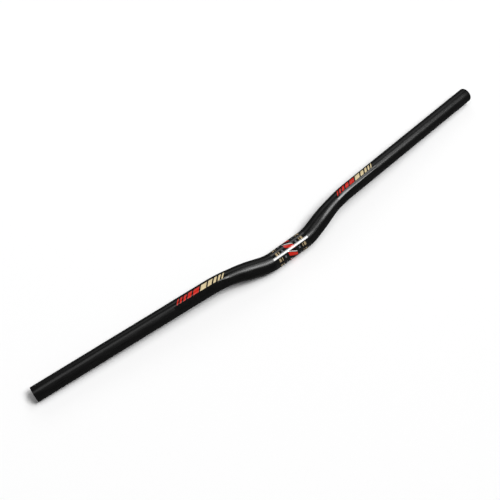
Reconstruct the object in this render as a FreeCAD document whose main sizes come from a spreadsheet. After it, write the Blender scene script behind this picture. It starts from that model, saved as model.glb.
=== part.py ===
"""Riser handlebar for a mountain bike: one hollow moulded tube, bent twice on each side.

Millimetres and degrees. X runs along the axis of the stem clamp and the origin is its middle. The bar lies
as it comes to rest on a flat surface, front side up: the clamp and both ends touch it, and Z points up.
Before it is laid down, in its riding setting, X points to the rider's left, Y to the rear of the bike and Z
to the sky. The left half is built and the right half is its mirror image.
"""
import FreeCAD, Part
import enum
import math
import os
import Sketcher
from FreeCAD import Placement, Rotation, Vector

# Driving dimensions: alias, value, what it measures
DIMENSIONS = (
    ("overall_width", 780.0, "end to end, along the clamp axis"),
    ("clamp_diameter", 25.4, "outside, where the stem holds it"),
    ("clamp_length", 48.0, "straight run that the stem holds"),
    ("clamp_wall", 3.0, "wall of the clamp run and the rise bends"),
    ("grip_diameter", 22.2, "outside, where grips and levers slide on"),
    ("grip_wall", 2.5, "wall of the grip runs"),
    ("rise_angle", 17.6, "how steeply the bar climbs from the clamp"),
    ("rise_radius", 75.0, "centreline radius of the bend beside the clamp"),
    ("run_length", 26.0, "straight run between the two bends"),
    ("elbow_radius", 200.0, "centreline radius of the outer bend"),
    ("back_sweep", 5.0, "angle of the grips to the rear, seen from above"),
    ("up_sweep", 2.5, "angle of the grips upwards, seen from the front"),
    ("taper_lead", 15.0, "clamp diameter kept past the rise bend"),
    ("taper_length", 38.0, "swage from clamp to grip diameter, along the tube"),
    ("rim_round", 0.8, "rounding of the outer edge at each end"),
    ("mouth_break", 0.5, "chamfer of the inner edge at each end"),
    ("bore_overrun", 2.0, "how far the core that leaves the bore stands out of each end"),
)
CLAMP_RADIUS = "sizes.clamp_diameter / 2"
GRIP_RADIUS = "sizes.grip_diameter / 2"
CLAMP_BORE = "(sizes.clamp_diameter / 2 - sizes.clamp_wall)"
GRIP_BORE = "(sizes.grip_diameter / 2 - sizes.grip_wall)"

# The taper's sections lie at these shares of its length: four make it a cubic that is level at both ends
TAPER_SHARES = (0.0, 1 / 3, 2 / 3, 1.0)

LOCAL_X = Vector(1, 0, 0)
LOCAL_Z = Vector(0, 0, 1)
# A turn that is bound later needs a first value other than zero, to keep its axis
FIRST_TURN = 1.0
# Two points this close are the same place
SAME_PLACE = 0.01


class Point(enum.IntEnum):
    """How a sketch numbers the points of a curve."""

    START = 1
    END = 2
    CENTRE = 3


class Axis(enum.IntEnum):
    """How a sketch numbers its own axes: the origin is the start of the first."""

    X = -1
    Y = -2


SKETCH_ORIGIN = (Axis.X, Point.START)

doc = FreeCAD.newDocument("handlebar")


def make_sheet():
    """Fill the spreadsheet with the driving dimensions."""
    sheet = doc.addObject("Spreadsheet::Sheet", "sizes")
    for row, (alias, value, meaning) in enumerate(DIMENSIONS, start=1):
        sheet.set(f"A{row}", meaning)
        sheet.set(f"B{row}", str(value))
        sheet.setAlias(f"B{row}", alias)
    doc.recompute()


def bind(item, expressions):
    """Bind each named property of an object to its expression."""
    for path, expression in expressions.items():
        item.setExpression(path, expression)


def turn_after(distance):
    """Angle turned in the elbow at a distance along the tube from the start of the run."""
    return f"max(0; {distance} - sizes.run_length) / sizes.elbow_radius * 180 deg / pi"


def make_layout():
    """Work out the elbow from the sweeps: its angle, its roll about the run, and the turn that is tapered."""
    layout = doc.addObject("App::VarSet", "layout")
    layout.addProperty("App::PropertyFloat", "slant")
    for name in ("elbow_angle", "elbow_roll", "taper_turn"):
        layout.addProperty("App::PropertyAngle", name)
    along = "(cos(sizes.rise_angle) + sin(sizes.rise_angle) * tan(sizes.up_sweep))"
    climb = "(cos(sizes.rise_angle) * tan(sizes.up_sweep) - sin(sizes.rise_angle))"
    bind(layout, {
        "slant": "sqrt(1 + tan(sizes.back_sweep)^2 + tan(sizes.up_sweep)^2)",
        "elbow_angle": f"acos({along} / slant)",
        "elbow_roll": f"atan2(-tan(sizes.back_sweep); {climb})",
        "taper_turn": turn_after("sizes.taper_lead + sizes.taper_length"),
    })
    doc.recompute()


def attach(item, support, plane, offset=None, turn="0 deg", about=LOCAL_X):
    """Attach a sketch or a station to its support, at an offset and a turn."""
    item.AttachmentSupport = [(support, "")]
    item.MapMode = plane
    item.AttachmentOffset = Placement(Vector(), Rotation(about, FIRST_TURN))
    bind(item, {"AttachmentOffset.Rotation.Angle": turn})
    bind(item, {f"AttachmentOffset.Base.{axis}": length for axis, length in (offset or {}).items()})


def past_bend(radius, turn, straight="0"):
    """Offset and turn of the point past a straight length and a bend towards local Y."""
    offset = {"y": f"{radius} * (1 - cos({turn}))", "z": f"{straight} + {radius} * sin({turn})"}
    return offset, f"-({turn})"


def make_station(body, name, support, plane, *place):
    """Set a coordinate system on the centreline, with its Z axis along the tube."""
    station = body.newObject("PartDesign::CoordinateSystem", name)
    attach(station, support, plane, *place)
    return station


def make_sketch(body, name, support, plane, *place):
    sketch = body.newObject("Sketcher::SketchObject", name)
    attach(sketch, support, plane, *place)
    return sketch


def measure(sketch, name, expression, *constraint):
    """Add a dimension to a sketch and bind it."""
    index = sketch.addConstraint(Sketcher.Constraint(*constraint))
    sketch.renameConstraint(index, name)
    bind(sketch, {f"Constraints.{name}": expression})


def make_section(body, name, radius, support, *place):
    """Draw the tube's round section, square to the tube."""
    sketch = make_sketch(body, f"{name}_section", support, "ObjectXY", *place)
    first_radius = doc.sizes.grip_diameter / 2
    edge = sketch.addGeometry(Part.Circle(Vector(), LOCAL_Z, first_radius), False)
    sketch.addConstraint(Sketcher.Constraint("Coincident", edge, Point.CENTRE, *SKETCH_ORIGIN))
    measure(sketch, "radius", radius, "Radius", edge, first_radius)
    return sketch


def make_straight(body, name, radius, length, support):
    """Pad the section along the tube."""
    pad = body.newObject("PartDesign::Pad", name)
    pad.Profile = make_section(body, name, radius, support)
    bind(pad, {"Length": length})
    return pad


def make_bend(body, name, radius, bend_radius, turn, support, *place):
    """Revolve the section about an axis on the side that the tube bends to."""
    sketch = make_section(body, name, radius, support, *place)
    reach, side = doc.sizes.rise_radius, doc.sizes.grip_diameter / 2
    axis = sketch.addGeometry(Part.LineSegment(Vector(side, reach, 0), Vector(-side, reach, 0)), True)
    ends = (axis, Point.START, axis, Point.END)
    sketch.addConstraint(Sketcher.Constraint("Symmetric", *ends, Axis.Y))
    measure(sketch, "axis_length", radius, "DistanceX", axis, Point.END, axis, Point.START, side)
    measure(sketch, "bend_radius", bend_radius, "DistanceY", *SKETCH_ORIGIN, axis, Point.START, reach)
    bend = body.newObject("PartDesign::Revolution", name)
    bend.Profile = sketch
    bend.ReferenceAxis = (sketch, ["Axis0"])
    bind(bend, {"Angle": turn})
    return bend


def make_taper_path(body, name, run):
    """Draw the taper's centreline: the end of the run and the start of the elbow."""
    path = make_sketch(body, f"{name}_path", run, "ObjectYZ")
    lead, straight, radius = doc.sizes.taper_lead, doc.sizes.run_length, doc.sizes.elbow_radius
    turn = math.radians(doc.layout.taper_turn.Value)
    line = path.addGeometry(Part.LineSegment(Vector(0, lead, 0), Vector(0, straight, 0)), False)
    circle = Part.Circle(Vector(radius, straight, 0), LOCAL_Z, radius)
    arc = path.addGeometry(Part.ArcOfCircle(circle, math.pi - turn, math.pi), False)
    path.addConstraint(Sketcher.Constraint("PointOnObject", line, Point.START, Axis.Y))
    path.addConstraint(Sketcher.Constraint("Vertical", line))
    path.addConstraint(Sketcher.Constraint("Tangent", line, Point.END, arc, Point.END))
    measure(path, "lead", "sizes.taper_lead", "DistanceY", *SKETCH_ORIGIN, line, Point.START, lead)
    measure(path, "run", "sizes.run_length", "DistanceY", *SKETCH_ORIGIN, line, Point.END, straight)
    measure(path, "bend", "sizes.elbow_radius", "Radius", arc, radius)
    measure(path, "turn", "layout.taper_turn", "Angle", arc, turn)
    return path


def make_taper(body, name, clamp_radius, grip_radius, run):
    """Sweep from the clamp's section to the grip's, eased at both ends."""
    sections = []
    for share in TAPER_SHARES:
        distance = f"(sizes.taper_lead + {share} * sizes.taper_length)"
        place = past_bend("sizes.elbow_radius", turn_after(distance), f"min({distance}; sizes.run_length)")
        eased = share * share * (3 - 2 * share)
        radius = f"{clamp_radius} + {eased} * ({grip_radius} - {clamp_radius})"
        sections.append(make_section(body, name, radius, run, *place))
    taper = body.newObject("PartDesign::AdditivePipe", name)
    taper.Profile = sections[0]
    taper.Sections = [(section, [""]) for section in sections[1:]]
    taper.Spine = (make_taper_path(body, name, run), ["Edge1", "Edge2"])
    taper.Transformation = "Multisection"
    return taper


def make_tube(name, clamp_radius, grip_radius, overrun="0"):
    """Build a solid bar of the given radii: the left half along its stations, then its mirror image."""
    body = doc.addObject("PartDesign::Body", name)
    planes = {feature.Role: feature for feature in body.Origin.OriginFeatures}
    rise, elbow = "sizes.rise_radius", "sizes.elbow_radius"

    # Stations along the centreline
    middle = make_station(body, f"{name}_middle", planes["YZ_Plane"], "FlatFace")
    clamp_end = make_station(body, f"{name}_clamp_end", middle, "ObjectXY", {"z": "sizes.clamp_length / 2"})
    place = past_bend(rise, "sizes.rise_angle")
    rise_end = make_station(body, f"{name}_rise_end", clamp_end, "ObjectXY", *place)
    run = make_station(body, f"{name}_run", rise_end, "ObjectXY", {}, "layout.elbow_roll", LOCAL_Z)
    place = past_bend(elbow, "layout.elbow_angle", "sizes.run_length")
    elbow_end = make_station(body, f"{name}_elbow_end", run, "ObjectXY", *place)
    grip_length = f"(sizes.overall_width / 2 - {elbow_end.Name}.Placement.Base.x / 1 mm) * layout.slant"
    make_station(body, f"{name}_grip_end", elbow_end, "ObjectXY", {"z": grip_length})

    # The left half, from the middle to the end
    taper_end = past_bend(elbow, "layout.taper_turn", "sizes.run_length")
    elbow_rest = "layout.elbow_angle - layout.taper_turn"
    half = [
        make_straight(body, f"{name}_clamp", clamp_radius, "sizes.clamp_length / 2", middle),
        make_bend(body, f"{name}_rise", clamp_radius, rise, "sizes.rise_angle", clamp_end),
        make_straight(body, f"{name}_lead", clamp_radius, "sizes.taper_lead", run),
        make_taper(body, f"{name}_taper", clamp_radius, grip_radius, run),
        make_bend(body, f"{name}_elbow", grip_radius, elbow, elbow_rest, run, *taper_end),
        make_straight(body, f"{name}_grip", grip_radius, f"{grip_length} + {overrun}", elbow_end),
    ]
    mirror = body.newObject("PartDesign::Mirrored", f"{name}_right_half")
    mirror.Originals = half
    mirror.MirrorPlane = (planes["YZ_Plane"], [""])
    body.Tip = mirror
    doc.recompute()
    return body


def end_edges(shape, end, radius):
    """Name the circular edges of a radius round the left end and its mirror image."""
    centres = (end, Vector(-end.x, end.y, end.z))
    names = []
    for number, edge in enumerate(shape.Edges, start=1):
        if not isinstance(edge.Curve, Part.Circle) or abs(edge.Curve.Radius - radius) > SAME_PLACE:
            continue
        if any(edge.Curve.Center.distanceToPoint(centre) < SAME_PLACE for centre in centres):
            names.append(f"Edge{number}")
    return names


def finish_ends(bar, hollow):
    """Round the outer edge and break the inner edge at both ends."""
    end = doc.getObject(f"{bar.Name}_grip_end").Placement.Base
    rims = bar.newObject("PartDesign::Fillet", "rims")
    rims.Base = (hollow, end_edges(hollow.Shape, end, doc.sizes.grip_diameter / 2))
    bind(rims, {"Radius": "sizes.rim_round"})
    doc.recompute()
    mouths = bar.newObject("PartDesign::Chamfer", "mouths")
    bore_radius = doc.sizes.grip_diameter / 2 - doc.sizes.grip_wall
    mouths.Base = (rims, end_edges(rims.Shape, end, bore_radius))
    bind(mouths, {"Size": "sizes.mouth_break"})
    bar.Tip = mouths
    doc.recompute()


def lay_down(bar):
    """Roll the bar about the clamp axis until the clamp and both ends touch one flat surface."""
    pose = doc.addObject("App::VarSet", "pose")
    pose.addProperty("App::PropertyAngle", "lying")
    end = f"{bar.Name}_grip_end.Placement.Base"
    step = "(sizes.clamp_diameter - sizes.grip_diameter) / 2 * 1 mm"
    reach = f"sqrt({end}.y^2 + {end}.z^2)"
    bind(pose, {"lying": f"-atan2({end}.z; {end}.y) - asin({step} / {reach})"})
    bar.Placement = Placement(Vector(), Rotation(LOCAL_X, FIRST_TURN))
    bind(bar, {"Placement.Rotation.Angle": "pose.lying"})
    doc.recompute()


def make_handlebar():
    """Cut the core out of the bar and finish its ends."""
    bar = make_tube("handlebar", CLAMP_RADIUS, GRIP_RADIUS)
    core = make_tube("core", CLAMP_BORE, GRIP_BORE, "sizes.bore_overrun")
    hollow = bar.newObject("PartDesign::Boolean", "hollow")
    hollow.setObjects([core])
    hollow.Type = "Cut"
    bar.Tip = hollow
    doc.recompute()
    finish_ends(bar, hollow)
    lay_down(bar)
    return bar


def check(part):
    """Stop unless every object is sound and the part is one valid solid."""
    for item in doc.Objects:
        if {"Invalid", "Error"} & set(item.State):
            raise RuntimeError(f"{item.Name} failed")
    if part.Shape.isNull() or not part.Shape.isValid() or len(part.Shape.Solids) != 1:
        raise RuntimeError(f"{part.Label} is not one valid solid")


def write(part):
    os.makedirs("parts", exist_ok=True)
    part.Shape.exportStep(f"parts/{part.Label}.step")


make_sheet()
make_layout()
handlebar = make_handlebar()
check(handlebar)
write(handlebar)
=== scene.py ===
"""Looks of a riser handlebar: a satin black tube with glossy printed films, in a pale studio.

Metres, in the frame of the solids: X along the clamp axis, Z up. The tube is drawn out ring by
ring from the middle of the bar to its left end. Each of its points keeps an "unbent" place, where
it would be if the tube were straight: prints and grain are laid out on that.
"""
import math
from dataclasses import dataclass

import bmesh
import bpy
from mathutils import Matrix, Vector


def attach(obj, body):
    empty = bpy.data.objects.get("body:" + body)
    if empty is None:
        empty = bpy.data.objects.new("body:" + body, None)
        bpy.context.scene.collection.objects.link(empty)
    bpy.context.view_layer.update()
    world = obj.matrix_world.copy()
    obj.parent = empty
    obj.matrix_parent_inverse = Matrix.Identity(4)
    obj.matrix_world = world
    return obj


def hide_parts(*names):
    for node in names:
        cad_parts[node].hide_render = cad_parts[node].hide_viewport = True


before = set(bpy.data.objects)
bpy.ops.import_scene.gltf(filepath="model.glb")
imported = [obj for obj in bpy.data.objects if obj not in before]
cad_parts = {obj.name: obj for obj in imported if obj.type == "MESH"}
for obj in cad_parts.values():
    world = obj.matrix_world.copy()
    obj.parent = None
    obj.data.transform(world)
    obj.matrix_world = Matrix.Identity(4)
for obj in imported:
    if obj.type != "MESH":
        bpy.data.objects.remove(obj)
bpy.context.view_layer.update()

MM = 0.001
ALL_ROUND = 2 * math.pi
UNBENT = "unbent"

# The tube, as the solids have it
CLAMP_RADIUS = 12.7 * MM
GRIP_RADIUS = 11.1 * MM
CLAMP_BORE = 9.7 * MM
GRIP_BORE = 8.6 * MM
HALF_CLAMP = 24.0 * MM
RISE_RADIUS = 75.0 * MM
RISE_ANGLE = math.radians(17.6)
RUN_LENGTH = 26.0 * MM
ELBOW_RADIUS = 200.0 * MM
TAPER_LEAD = 15.0 * MM
TAPER_LENGTH = 38.0 * MM
HALF_WIDTH = 390.0 * MM
BACK_SWEEP = math.radians(5.0)
UP_SWEEP = math.radians(2.5)
LYING = math.radians(-54.10104)
RIM_ROUND = 0.8 * MM
MOUTH_BREAK = 0.5 * MM

# Directions along the tube as it lies, and the sides that it bends to
LAID = Matrix.Rotation(LYING, 3, "X")
CLAMP_WAY = Vector((1, 0, 0))
RISE_SIDE = LAID @ Vector((0, 0, 1))
RISE_WAY = CLAMP_WAY * math.cos(RISE_ANGLE) + RISE_SIDE * math.sin(RISE_ANGLE)
GRIP_WAY = (LAID @ Vector((1, math.tan(BACK_SWEEP), math.tan(UP_SWEEP)))).normalized()
ELBOW_ANGLE = RISE_WAY.angle(GRIP_WAY)
ELBOW_SIDE = (GRIP_WAY - RISE_WAY * GRIP_WAY.dot(RISE_WAY)).normalized()

# Distances along the tube from the middle
RISE_END = HALF_CLAMP + RISE_RADIUS * RISE_ANGLE
TAPER_START = RISE_END + TAPER_LEAD
RUN_END = RISE_END + RUN_LENGTH
ELBOW_END = RUN_END + ELBOW_RADIUS * ELBOW_ANGLE

# How finely the tube is divided
RING_POINTS = 96
RING_STEP = ALL_ROUND / RING_POINTS
CLAMP_STEPS = 6
RISE_STEPS = 14
LEAD_STEPS = 4
SWAGE_STEPS = 8
ELBOW_STEPS = 36
GRIP_STEPS = 24
RIM_STEPS = 6
SAME_PLACE = 0.001 * MM
SMOOTH_ANGLE = math.radians(30)
# Skin outside this radius is coated, and inside it is bare
COAT_RADIUS = 10.2 * MM

# Films and their print: distances along the tube, angles round it from the top to the swept side
FILM_HEIGHT = 0.06 * MM
FILM_THICKNESS = 0.12 * MM
PRINT_HEIGHT = 0.08 * MM
PRINT_THICKNESS = 0.04 * MM
SIDE_FILM_LENGTH = 82.0 * MM
SIDE_FILM_HALF = 16 * RING_STEP
# Side films: side, start along the tube, angle round it
SIDE_FILMS = (
    ("left", 103.0 * MM, 5 * RING_STEP),
    ("right", -181.0 * MM, 2 * RING_STEP),
)
BARS_HALF = 5 * RING_STEP
BARS_INSET = 5.0 * MM
BAR_WIDTHS = [width * MM for width in (9.0, 6.0, 4.0, 3.0, 2.0)]
BAR_GAP = 2.6 * MM
BAR_SLANT = math.radians(-40)
CLAMP_FILM_REACH = 31.0 * MM
RING_REACH = 6.5 * MM
RING_BARS = 6
RING_SLANT = math.radians(60)
RING_WINDOW = math.radians(50)
# Bars of the ring: angles of their two sides
RED_BAR = (math.radians(-13), math.radians(13))
WHITE_BAR = (math.radians(18), math.radians(23))
TICK_COUNT = 8
# Ticks beside the ring: nearest and farthest distance from the middle, half width
GOLD_TICKS = (
    (20.5 * MM, 23.5 * MM, 3 * RING_STEP),
    (17.5 * MM, 18.7 * MM, 3 * RING_STEP),
)
GREY_TICKS = ((11.0 * MM, 13.5 * MM, 2 * RING_STEP),)

# Inks of all films: dark and light tone of their cloudy colour
BLACK_INK = ((0.003, 0.003, 0.003), (0.006, 0.006, 0.006))
RED_INK = ((0.52, 0.016, 0.008), (0.62, 0.024, 0.012))

# Studio
FLOOR_HEIGHT = -12.8 * MM
FLOOR_SIZE = 30.0
FLOOR_TONE = 0.94
CAMERA_PLACE = Vector((-388.675, -404.441, 1048.862)) * MM
CAMERA_RIGHT = Vector((0.784197, -0.620511, -0.000163))
CAMERA_UP = Vector((0.547696, 0.692051, 0.470207))
CAMERA_LENS = 61.106
CAMERA_SENSOR = 36.0
SKY_LIGHT = 0.10
SKY_SEEN = 0.74
PANEL_DISTANCE = 4.5
# Far soft lights: name, azimuth, elevation and width in degrees, strength
FAR_LIGHTS = (
    ("key_light", -38, 58, 22, 1.70),
    ("fill_light", -20, 66, 22, 0.85),
)
# Soft panels: name; azimuth, elevation, width and height in degrees from the bar; brightness
PANELS = (
    ("side_panel", 14, 57, 18, 14, 5.0),
    ("top_panel", 130, 79, 28, 22, 2.1),
    ("back_panel", 65, 33, 44, 24, 0.87),
)


@dataclass
class TubeEnd:
    """The open end of the tube while it is drawn out."""

    middle: Vector
    way: Vector
    clamp_radius: float
    grip_radius: float
    radius: float
    travelled: float = 0.0

    def wanted_radius(self):
        """Clamp radius, grip radius, or the eased swage between them."""
        share = min(max((self.travelled - TAPER_START) / TAPER_LENGTH, 0), 1)
        eased = share * share * (3 - 2 * share)
        return self.clamp_radius + eased * (self.grip_radius - self.clamp_radius)


@dataclass
class Patch:
    """Part of the bar's skin: its ends along the tube, its angle round it and half its width."""

    start: float
    finish: float
    angle: float = 0.0
    half_angle: float = ALL_ROUND


@dataclass
class Shape:
    """A printed shape: the walls round it, its angle round the tube and half its width."""

    walls: list
    angle: float
    half_angle: float


def start_ring(mesh, radius):
    """Add the first ring of a tube, round the clamp axis in the middle of the bar."""
    bpy.ops.mesh.primitive_circle_add(
        vertices=RING_POINTS, radius=radius, rotation=(0, math.pi / 2, 0)
    )
    bm = bmesh.from_edit_mesh(mesh)
    layers = bm.verts.layers.float_vector
    unbent = layers.get(UNBENT) or layers.new(UNBENT)
    for point in bm.verts:
        if point.select:
            point[unbent] = point.co
    bmesh.update_edit_mesh(mesh)


def size_ring(mesh, end, radius):
    """Scale the selected ring about its middle, and note its points' places on the unbent tube."""
    share = radius / end.radius
    bpy.ops.transform.resize(value=(share, share, share), center_override=end.middle)
    end.radius = radius
    bm = bmesh.from_edit_mesh(mesh)
    unbent = bm.verts.layers.float_vector[UNBENT]
    for point in bm.verts:
        if point.select:
            around = Vector((0, point[unbent].y, point[unbent].z)).normalized()
            point[unbent] = Vector((end.travelled, 0, 0)) + around * radius
    bmesh.update_edit_mesh(mesh)


def draw_on(mesh, end, length, radius):
    """Draw the end of the tube straight on, to a radius."""
    step = end.way * length
    bpy.ops.mesh.extrude_region_move(TRANSFORM_OT_translate={"value": step})
    end.middle = end.middle + step
    end.travelled += length
    size_ring(mesh, end, radius)


def draw_straight(mesh, end, length, steps):
    """Draw the end of the tube straight on, to the radius that each step wants."""
    for _ in range(steps):
        draw_on(mesh, end, length / steps, end.radius)
        size_ring(mesh, end, end.wanted_radius())


def draw_bend(mesh, end, side, bend_radius, angle, steps):
    """Spin the end of the tube round an axis on one side of it."""
    hub = end.middle + side * bend_radius
    axis = end.way.cross(side)
    turn = Matrix.Rotation(angle / steps, 3, axis)
    for _ in range(steps):
        bpy.ops.mesh.spin(steps=1, angle=-angle / steps, center=hub, axis=axis)
        end.middle = hub + turn @ (end.middle - hub)
        end.way = turn @ end.way
        end.travelled += bend_radius * angle / steps
        size_ring(mesh, end, end.wanted_radius())


def draw_tube(mesh, clamp_radius, grip_radius, shortened):
    """Draw out the left half of a tube, to a length short of its end."""
    start_ring(mesh, clamp_radius)
    end = TubeEnd(Vector(), CLAMP_WAY, clamp_radius, grip_radius, clamp_radius)
    draw_straight(mesh, end, HALF_CLAMP, CLAMP_STEPS)
    draw_bend(mesh, end, RISE_SIDE, RISE_RADIUS, RISE_ANGLE, RISE_STEPS)
    draw_straight(mesh, end, TAPER_LEAD, LEAD_STEPS)
    draw_straight(mesh, end, RUN_LENGTH - TAPER_LEAD, SWAGE_STEPS)
    draw_bend(mesh, end, ELBOW_SIDE, ELBOW_RADIUS, ELBOW_ANGLE, ELBOW_STEPS)
    grip_length = (HALF_WIDTH - end.middle.x) / end.way.x
    draw_straight(mesh, end, grip_length - shortened, GRIP_STEPS)
    return end


def draw_rim(mesh, end):
    """Round the outer edge of the tube's end and turn it in to the mouth of the bore."""
    for step in range(RIM_STEPS):
        before, after = (math.pi / 2 * count / RIM_STEPS for count in (step, step + 1))
        length = RIM_ROUND * (math.sin(after) - math.sin(before))
        draw_on(mesh, end, length, GRIP_RADIUS - RIM_ROUND * (1 - math.cos(after)))
    draw_on(mesh, end, 0, GRIP_BORE + MOUTH_BREAK)


def new_mesh(name):
    """Start an empty mesh and open it for editing."""
    piece = bpy.data.objects.new(name, bpy.data.meshes.new(name))
    bpy.context.scene.collection.objects.link(piece)
    open_for_editing(piece)
    bpy.ops.mesh.select_mode(type="VERT")
    return piece


def open_for_editing(piece):
    bpy.ops.object.select_all(action="DESELECT")
    bpy.context.view_layer.objects.active = piece
    piece.select_set(True)
    bpy.ops.object.mode_set(mode="EDIT")


def select_open_ends(mesh):
    """Select the open rings away from the middle of the bar."""
    bpy.ops.mesh.select_mode(type="EDGE")
    bpy.ops.mesh.select_all(action="DESELECT")
    bm = bmesh.from_edit_mesh(mesh)
    for edge in bm.edges:
        edge.select_set(edge.is_boundary and all(point.co.x > HALF_CLAMP for point in edge.verts))
    bmesh.update_edit_mesh(mesh)


def make_bar(coat, laminate):
    """Model the left half of the hollow bar, join its bore to its end and mirror it."""
    bar = new_mesh("bar")
    end = draw_tube(bar.data, CLAMP_RADIUS, GRIP_RADIUS, RIM_ROUND)
    draw_rim(bar.data, end)
    draw_tube(bar.data, CLAMP_BORE, GRIP_BORE, MOUTH_BREAK)
    select_open_ends(bar.data)
    bpy.ops.mesh.bridge_edge_loops()
    bpy.ops.object.mode_set(mode="OBJECT")

    mirror = bar.modifiers.new("right half", "MIRROR")
    mirror.merge_threshold = SAME_PLACE
    bpy.ops.object.modifier_apply(modifier=mirror.name)
    bpy.ops.object.mode_set(mode="EDIT")
    bpy.ops.mesh.select_all(action="SELECT")
    bpy.ops.mesh.remove_doubles(threshold=SAME_PLACE)
    bpy.ops.mesh.normals_make_consistent(inside=False)
    bpy.ops.object.mode_set(mode="OBJECT")
    bpy.ops.object.shade_smooth_by_angle(angle=SMOOTH_ANGLE)

    for point, place in zip(bar.data.vertices, bar.data.attributes[UNBENT].data):
        if point.co.x < 0:
            place.vector.x = -place.vector.x
    bar.data.materials.append(coat)
    bar.data.materials.append(laminate)
    for face, place in zip(bar.data.polygons, unbent_middles(bar.data)):
        face.material_index = int(place.yz.length < COAT_RADIUS)
    return bar


def unbent_middles(mesh):
    """Where the middle of each face lies on the unbent tube."""
    places = [point.vector.copy() for point in mesh.attributes[UNBENT].data]
    return [
        sum((places[index] for index in face.vertices), Vector()) / len(face.vertices)
        for face in mesh.polygons
    ]


def in_window(place, angle, half_angle):
    """Whether an unbent place is within a half angle of an angle round the tube."""
    apart = math.atan2(place.y, place.z) - angle
    return abs((apart + math.pi) % ALL_ROUND - math.pi) < half_angle


def tube_frame(travelled):
    """Middle of the tube at a distance along its left half, and how the tube is turned there."""
    rise = min(max((travelled - HALF_CLAMP) / RISE_RADIUS, 0), RISE_ANGLE)
    elbow = min(max((travelled - RUN_END) / ELBOW_RADIUS, 0), ELBOW_ANGLE)
    middle = CLAMP_WAY * min(travelled, HALF_CLAMP)
    middle += RISE_RADIUS * (CLAMP_WAY * math.sin(rise) + RISE_SIDE * (1 - math.cos(rise)))
    middle += RISE_WAY * min(max(travelled - RISE_END, 0), RUN_LENGTH)
    middle += ELBOW_RADIUS * (RISE_WAY * math.sin(elbow) + ELBOW_SIDE * (1 - math.cos(elbow)))
    middle += GRIP_WAY * max(travelled - ELBOW_END, 0)
    first = Matrix.Rotation(rise, 3, CLAMP_WAY.cross(RISE_SIDE))
    second = Matrix.Rotation(elbow, 3, RISE_WAY.cross(ELBOW_SIDE))
    return middle, second @ first


def wall_across(travelled, angle=0.0, slant=0.0):
    """A plane across the tube, slanted from square: a point of the skin that it cuts, its normal.

    Distances along the right half are negative, and the normal points to the left end.
    """
    middle, turn = tube_frame(abs(travelled))
    outward = Vector((0, math.sin(angle), math.cos(angle)))
    sideways = Vector((0, math.cos(angle), -math.sin(angle)))
    hand = math.copysign(1, travelled)
    point = middle + turn @ (outward * GRIP_RADIUS)
    normal = turn @ (CLAMP_WAY * math.cos(slant) * hand + sideways * math.sin(slant))
    point.x *= hand
    normal.x *= hand
    return point, normal


def between(first, last):
    """The two walls of a shape, both facing into it."""
    return [first, (last[0], -last[1])]


def select_faces(piece, wanted):
    """Open a piece for editing, with only the faces of these numbers selected."""
    open_for_editing(piece)
    bpy.ops.mesh.select_mode(type="FACE")
    bpy.ops.mesh.select_all(action="DESELECT")
    bpy.ops.object.mode_set(mode="OBJECT")
    for number in wanted:
        piece.data.polygons[number].select = True
    bpy.ops.object.mode_set(mode="EDIT")


def lift_skin(bar, name, patch, material):
    """Copy a patch of the bar's skin as a piece of its own."""
    skin = [
        number
        for number, place in enumerate(unbent_middles(bar.data))
        if place.yz.length > COAT_RADIUS
        and patch.start < place.x < patch.finish
        and in_window(place, patch.angle, patch.half_angle)
    ]
    select_faces(bar, skin)
    bpy.ops.mesh.duplicate()
    bpy.ops.mesh.separate(type="SELECTED")
    bpy.ops.object.mode_set(mode="OBJECT")
    piece = next(other for other in bpy.context.selected_objects if other is not bar)
    piece.name = piece.data.name = name
    piece.data.materials.clear()
    piece.data.materials.append(material)
    return piece


def raise_skin(piece, bar, height, thickness):
    """Raise a piece off the skin, make it thick, and shade it as evenly as the skin under it."""
    open_for_editing(piece)
    bpy.ops.mesh.select_all(action="SELECT")
    bpy.ops.transform.shrink_fatten(value=height)
    bpy.ops.object.mode_set(mode="OBJECT")
    glued_side = piece.vertex_groups.new(name="glued side")
    wall = piece.modifiers.new("thickness", "SOLIDIFY")
    wall.thickness = thickness
    wall.offset = -1
    wall.shell_vertex_group = glued_side.name
    bpy.ops.object.modifier_apply(modifier=wall.name)
    bpy.ops.object.shade_smooth_by_angle(angle=SMOOTH_ANGLE)

    shading = piece.modifiers.new("shading of the skin", "DATA_TRANSFER")
    shading.object = bar
    shading.use_loop_data = True
    shading.data_types_loops = {"CUSTOM_NORMAL"}
    shading.loop_mapping = "POLYINTERP_NEAREST"
    shading.vertex_group = glued_side.name
    shading.invert_vertex_group = True
    bpy.ops.object.modifier_apply(modifier=shading.name)
    piece.vertex_groups.clear()


def faces_within(sheet, shape, walls):
    """Numbers of the sheet's faces within the angles of a shape and inside these of its walls."""
    return [
        face.index
        for face, place in zip(sheet.data.polygons, unbent_middles(sheet.data))
        if in_window(place, shape.angle, shape.half_angle)
        and all((face.center - point).dot(normal) > 0 for point, normal in walls)
    ]


def cut_shape(sheet, shape):
    """Cut a shape's walls into the sheet, each only inside the walls before it."""
    for count, (point, normal) in enumerate(shape.walls):
        select_faces(sheet, faces_within(sheet, shape, shape.walls[:count]))
        bpy.ops.mesh.bisect(plane_co=point, plane_no=normal, threshold=SAME_PLACE)
        bpy.ops.object.mode_set(mode="OBJECT")


def make_film(bar, name, patch, material):
    """Glossy film on a patch of the bar."""
    film = lift_skin(bar, name, patch, material)
    raise_skin(film, bar, FILM_HEIGHT, FILM_THICKNESS)
    return film


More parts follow.
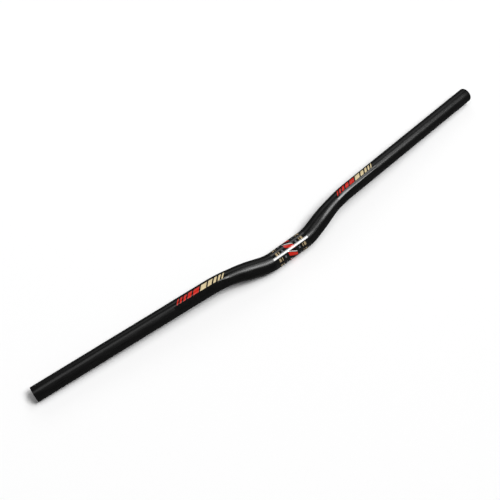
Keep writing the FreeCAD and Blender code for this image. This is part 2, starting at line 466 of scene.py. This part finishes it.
def make_print(bar, name, patch, shapes, ink):
    """Layer of ink on a film: shapes that are cut out of its patch of the skin."""
    sheet = lift_skin(bar, name, patch, ink)
    for shape in shapes:
        cut_shape(sheet, shape)
    printed = {number for shape in shapes for number in faces_within(sheet, shape, shape.walls)}
    select_faces(sheet, [face.index for face in sheet.data.polygons if face.index not in printed])
    bpy.ops.mesh.delete(type="FACE")
    bpy.ops.object.mode_set(mode="OBJECT")
    raise_skin(sheet, bar, PRINT_HEIGHT, PRINT_THICKNESS)
    return sheet


def side_bars(start, angle):
    """The two halves of a row of slanted bars along a side film, widest in the middle."""
    bars = []
    at = start + BARS_INSET
    for width in BAR_WIDTHS[::-1] + BAR_WIDTHS:
        walls = between(*(wall_across(edge, angle, BAR_SLANT) for edge in (at, at + width)))
        bars.append(Shape(walls, angle, BARS_HALF))
        at += width + BAR_GAP
    return bars[:len(BAR_WIDTHS)], bars[len(BAR_WIDTHS):]


def ring_bars(first, last):
    """Slanted bars all round the middle of the clamp, each between two angles."""
    edges = between(wall_across(-RING_REACH), wall_across(RING_REACH))
    bars = []
    for count in range(RING_BARS):
        angle = ALL_ROUND * count / RING_BARS
        sides = between(*(wall_across(0, angle + side, RING_SLANT) for side in (first, last)))
        bars.append(Shape(edges + sides, angle, RING_WINDOW))
    return bars


def clamp_ticks(ticks):
    """Ticks all round the clamp, on both sides of its ring."""
    shapes = []
    for near, far, half_angle in ticks:
        for start, finish in ((near, far), (-far, -near)):
            walls = between(wall_across(start), wall_across(finish))
            for count in range(TICK_COUNT):
                shapes.append(Shape(walls, ALL_ROUND * count / TICK_COUNT, half_angle))
    return shapes


def dress_side(bar, side, start, angle, inks):
    """Film on an outer bend, with a row of bars that turns from red to gold."""
    patch = Patch(start, start + SIDE_FILM_LENGTH, angle, SIDE_FILM_HALF)
    red_bars, gold_bars = side_bars(start, angle)
    return [
        make_film(bar, f"film_{side}", patch, inks["black"]),
        make_print(bar, f"red_print_{side}", patch, red_bars, inks["red"]),
        make_print(bar, f"gold_print_{side}", patch, gold_bars, inks["gold"]),
    ]


def dress_clamp(bar, inks):
    """Film round the clamp, with slanted red and white bars between rows of gold and grey ticks."""
    patch = Patch(-CLAMP_FILM_REACH, CLAMP_FILM_REACH)
    return [
        make_film(bar, "film_clamp", patch, inks["black"]),
        make_print(bar, "red_print_clamp", patch, ring_bars(*RED_BAR), inks["red"]),
        make_print(bar, "white_print_clamp", patch, ring_bars(*WHITE_BAR), inks["white"]),
        make_print(bar, "gold_print_clamp", patch, clamp_ticks(GOLD_TICKS), inks["gold"]),
        make_print(bar, "grey_print_clamp", patch, clamp_ticks(GREY_TICKS), inks["grey"]),
    ]


def new_material(name, **values):
    """Start a material and set the plain values of its shader."""
    material = bpy.data.materials.new(name)
    material.use_nodes = True
    shader = material.node_tree.nodes["Principled BSDF"]
    for socket, value in values.items():
        shader.inputs[socket].default_value = value
    return material, shader


def add_node(material, kind, values=None, **settings):
    """Add a node with its settings and the plain values of its sockets."""
    node = material.node_tree.nodes.new(kind)
    for name, setting in settings.items():
        setattr(node, name, setting)
    for socket, value in (values or {}).items():
        node.inputs[socket].default_value = value
    return node


def link(material, source, output, target, socket):
    material.node_tree.links.new(source.outputs[output], target.inputs[socket])


def unbent_noise(material, stretch, detail):
    """Noise on the unbent tube: its stretch counts the waves in a metre, along and across it."""
    place = add_node(material, "ShaderNodeAttribute", attribute_name=UNBENT)
    scale = add_node(material, "ShaderNodeVectorMath", {1: stretch}, operation="MULTIPLY")
    noise = add_node(material, "ShaderNodeTexNoise", {"Scale": 1.0, "Detail": detail})
    link(material, place, "Vector", scale, 0)
    link(material, scale, "Vector", noise, "Vector")
    return noise


def spread(material, noise, low, high):
    """Spread a noise over a range of values."""
    limits = {"From Min": 0.3, "From Max": 0.7, "To Min": low, "To Max": high}
    values = add_node(material, "ShaderNodeMapRange", limits)
    link(material, noise, "Fac", values, "Value")
    return values


def add_bump(material, shader, noise, strength, distance):
    """Raise a noise on the surface, over any bump that the shader already has."""
    bump = add_node(material, "ShaderNodeBump", {"Strength": strength, "Distance": distance})
    link(material, noise, "Fac", bump, "Height")
    for before in shader.inputs["Normal"].links:
        link(material, before.from_node, "Normal", bump, "Normal")
    link(material, bump, "Normal", shader, "Normal")


def make_satin_coat():
    """Satin black coat over fibres along the tube: faint streaks, uneven gloss and a fine grain."""
    material, shader = new_material("satin_coat", **{"Specular IOR Level": 0.255})
    fibres = unbent_noise(material, stretch=(40, 1400, 1400), detail=4.0)
    tone = spread(material, fibres, low=0.001, high=0.008)
    link(material, tone, "Result", shader, "Base Color")
    cloud = unbent_noise(material, stretch=(35, 60, 60), detail=3.0)
    gloss = spread(material, cloud, low=0.23, high=0.28)
    link(material, gloss, "Result", shader, "Roughness")
    add_bump(material, shader, fibres, strength=1.0, distance=0.05 * MM)
    grain = unbent_noise(material, stretch=(2500, 2500, 2500), detail=2.0)
    add_bump(material, shader, grain, strength=0.10, distance=0.03 * MM)
    return material


def make_laminate():
    """Bare laminate in the bore and at the cut ends: dull, with a mottled resin."""
    material, shader = new_material("bare_laminate", **{"Specular IOR Level": 0.4})
    resin = unbent_noise(material, stretch=(300, 900, 900), detail=4.0)
    tone = spread(material, resin, low=0.006, high=0.02)
    link(material, tone, "Result", shader, "Base Color")
    gloss = spread(material, resin, low=0.45, high=0.65)
    link(material, gloss, "Result", shader, "Roughness")
    add_bump(material, shader, resin, strength=0.2, distance=0.1 * MM)
    return material


def make_ink(name, dark, light, roughness, finish):
    """Film in one printed colour: slightly cloudy ink under a slightly wavy surface."""
    material, shader = new_material(name, **finish)
    cloud = unbent_noise(material, stretch=(180, 180, 180), detail=4.0)
    colours = add_node(material, "ShaderNodeValToRGB")
    for element, position, colour in zip(colours.color_ramp.elements, (0.3, 0.7), (dark, light)):
        element.position = position
        element.color = (*colour, 1)
    link(material, cloud, "Fac", colours, "Fac")
    link(material, colours, "Color", shader, "Base Color")
    gloss = spread(material, cloud, low=0.85 * roughness, high=1.15 * roughness)
    link(material, gloss, "Result", shader, "Roughness")
    waves = unbent_noise(material, stretch=(120, 120, 120), detail=1.0)
    add_bump(material, shader, waves, strength=0.03, distance=0.1 * MM)
    return material


def make_inks(surface, tones, roughness, finish):
    """Inks of one surface, by colour."""
    return {
        colour: make_ink(f"{surface}_{colour}", dark, light, roughness, finish)
        for colour, (dark, light) in tones.items()
    }


def make_side_inks():
    """Inks of the side films."""
    tones = {
        "black": BLACK_INK,
        "red": RED_INK,
        "gold": ((0.62, 0.50, 0.28), (0.74, 0.62, 0.38)),
    }
    return make_inks("side", tones, roughness=0.10, finish={"Specular IOR Level": 0.31})


def make_clamp_inks():
    """Inks of the clamp film, under its clear coat."""
    tones = {
        "black": BLACK_INK,
        "red": RED_INK,
        "gold": ((0.30, 0.22, 0.12), (0.42, 0.33, 0.20)),
        "grey": ((0.10, 0.10, 0.11), (0.15, 0.15, 0.16)),
        "white": ((0.70, 0.69, 0.67), (0.78, 0.77, 0.75)),
    }
    finish = {"Coat Weight": 0.5, "Coat Roughness": 0.03}
    return make_inks("clamp", tones, roughness=0.05, finish=finish)


def make_floor():
    """Pale floor that the bar lies on, and that its gloss doesn't mirror."""
    bpy.ops.object.select_all(action="DESELECT")
    bpy.ops.mesh.primitive_plane_add(size=FLOOR_SIZE, location=(0, 0, FLOOR_HEIGHT))
    bpy.ops.object.transform_apply(location=True)
    floor = bpy.context.active_object
    floor.name = "floor"
    paint = {"Base Color": (FLOOR_TONE, FLOOR_TONE, FLOOR_TONE, 1), "Roughness": 0.9}
    material, _ = new_material("pale_floor", **paint)
    floor.data.materials.append(material)
    floor.visible_glossy = False


def hang_light(light, azimuth, elevation):
    """Hang a light so that it shines on the middle of the bar."""
    aside = Matrix.Rotation(math.radians(azimuth), 3, "Z")
    upwards = Matrix.Rotation(math.radians(-elevation), 3, "Y")
    way = aside @ upwards @ Vector((1, 0, 0))
    lamp = bpy.data.objects.new(light.name, light)
    lamp.location = way * PANEL_DISTANCE
    lamp.rotation_euler = (-way).to_track_quat("-Z", "Y").to_euler()
    bpy.context.scene.collection.objects.link(lamp)


def make_lights():
    for name, azimuth, elevation, width, strength in FAR_LIGHTS:
        light = bpy.data.lights.new(name, "SUN")
        light.angle = math.radians(width)
        light.energy = strength
        hang_light(light, azimuth, elevation)
    for name, azimuth, elevation, width, height, brightness in PANELS:
        light = bpy.data.lights.new(name, "AREA")
        light.shape = "RECTANGLE"
        light.size = 2 * PANEL_DISTANCE * math.tan(math.radians(width / 2))
        light.size_y = 2 * PANEL_DISTANCE * math.tan(math.radians(height / 2))
        light.energy = brightness * math.pi * light.size * light.size_y
        hang_light(light, azimuth, elevation)


def make_sky():
    """Sky that gives little light and looks as bright as the far floor, which so shows no edge."""
    sky = bpy.data.worlds.new("studio")
    sky.use_nodes = True
    dim = sky.node_tree.nodes["Background"]
    dim.inputs["Color"].default_value = (1, 1, 1, 1)
    dim.inputs["Strength"].default_value = SKY_LIGHT
    pale = add_node(sky, "ShaderNodeBackground", {"Color": (1, 1, 1, 1), "Strength": SKY_SEEN})
    seen = add_node(sky, "ShaderNodeLightPath")
    mix = add_node(sky, "ShaderNodeMixShader")
    link(sky, seen, "Is Camera Ray", mix, "Fac")
    link(sky, dim, "Background", mix, 1)
    link(sky, pale, "Background", mix, 2)
    link(sky, mix, "Shader", sky.node_tree.nodes["World Output"], "Surface")
    bpy.context.scene.world = sky


def make_studio():
    """Pale floor, sky, soft lights and the camera."""
    make_floor()
    make_sky()
    make_lights()

    lens = bpy.data.cameras.new("camera")
    lens.sensor_fit = "HORIZONTAL"
    lens.sensor_width = CAMERA_SENSOR
    lens.lens = CAMERA_LENS
    camera = bpy.data.objects.new("camera", lens)
    axes = Matrix((CAMERA_RIGHT, CAMERA_UP, CAMERA_RIGHT.cross(CAMERA_UP))).transposed()
    camera.matrix_world = Matrix.Translation(CAMERA_PLACE) @ axes.to_4x4()
    bpy.context.scene.collection.objects.link(camera)
    bpy.context.scene.camera = camera
    bpy.context.scene.view_settings.view_transform = "Standard"


bar = make_bar(make_satin_coat(), make_laminate())
side_inks = make_side_inks()
dressing = [piece for side in SIDE_FILMS for piece in dress_side(bar, *side, side_inks)]
dressing += dress_clamp(bar, make_clamp_inks())

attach(bar, "root")
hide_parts("handlebar")
for piece in dressing:
    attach(piece, "root")

make_studio()
